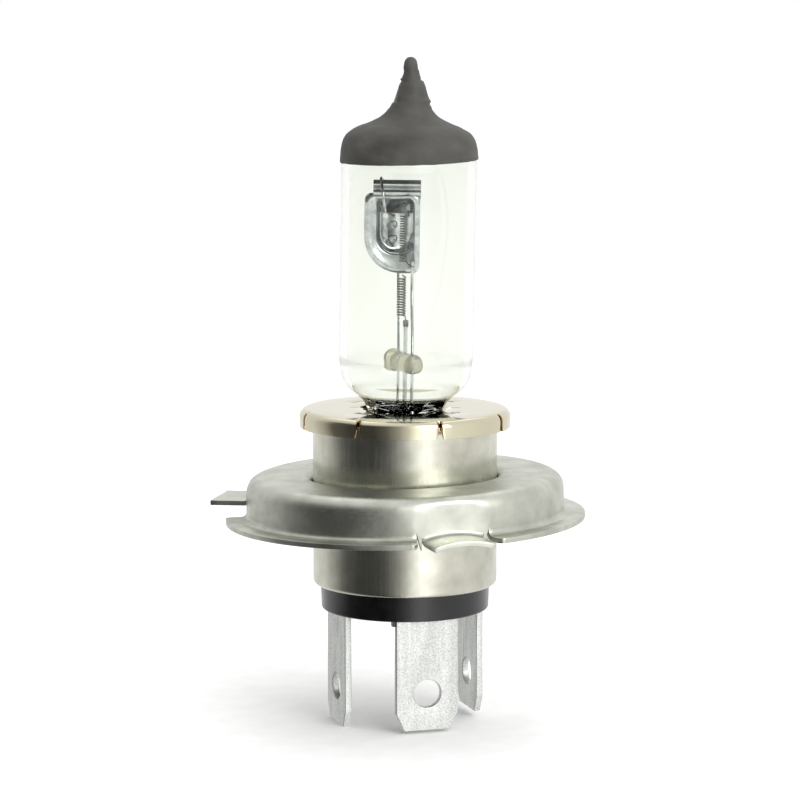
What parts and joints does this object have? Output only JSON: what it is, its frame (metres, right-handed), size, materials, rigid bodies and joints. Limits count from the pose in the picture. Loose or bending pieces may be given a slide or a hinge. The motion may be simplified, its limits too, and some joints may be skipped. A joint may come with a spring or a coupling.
{
  "type": "headlight bulb",
  "caption": "Halogen headlight bulb with dip and main filaments, coated glass tip, domed lugged mounting flange, steel barrel and flat terminal blades.",
  "frame": {"origin": "on the bulb's axis, in the reference plane of the flange's lugs (their faces towards the glass)", "axes": "+Z along the bulb's axis to the glass tip; -Y is the 12 o'clock side, where the middle blade and the arched lug are"},
  "size_m": [0.044, 0.0447, 0.0794],
  "materials": {
    "clear_glass": "clear, polished, slight warm tint at the pinch",
    "black_top_coating": "matt warm grey-black heat-proof paint on glass",
    "bead_glass": "pale yellow sintered glass",
    "tungsten_wire": "dark drawn tungsten wire",
    "molybdenum": "bright drawn molybdenum",
    "nickel_plate": "bright champagne nickel plate with heat tint at the notches",
    "stainless_steel": "satin drawn stainless steel with fine vertical draw marks",
    "tinned_brass": "matt tin plate with fine speckle",
    "black_resin": "moulded black thermoset"
  },
  "bodies": {
    "root": {"glass_envelope": "clear_glass", "top_coating": "black_top_coating", "low_beam_filament": "tungsten_wire", "high_beam_filament": "tungsten_wire", "low_beam_clamp": "molybdenum", "high_beam_clamp": "molybdenum", "dip_shield": "molybdenum", "common_lead": "molybdenum", "high_beam_lead": "molybdenum", "low_beam_lead": "molybdenum", "bridge_bead": "bead_glass", "common_foil": "molybdenum", "high_foil": "molybdenum", "low_foil": "molybdenum", "holder_ring": "nickel_plate", "barrel": "stainless_steel", "mounting_flange": "stainless_steel", "base_insulator": "black_resin", "blade_top": "tinned_brass", "blade_left": "tinned_brass", "blade_right": "tinned_brass", "outer_lead_top": "nickel_plate", "outer_lead_left": "nickel_plate", "outer_lead_right": "nickel_plate"}
  },
  "joints": []
}
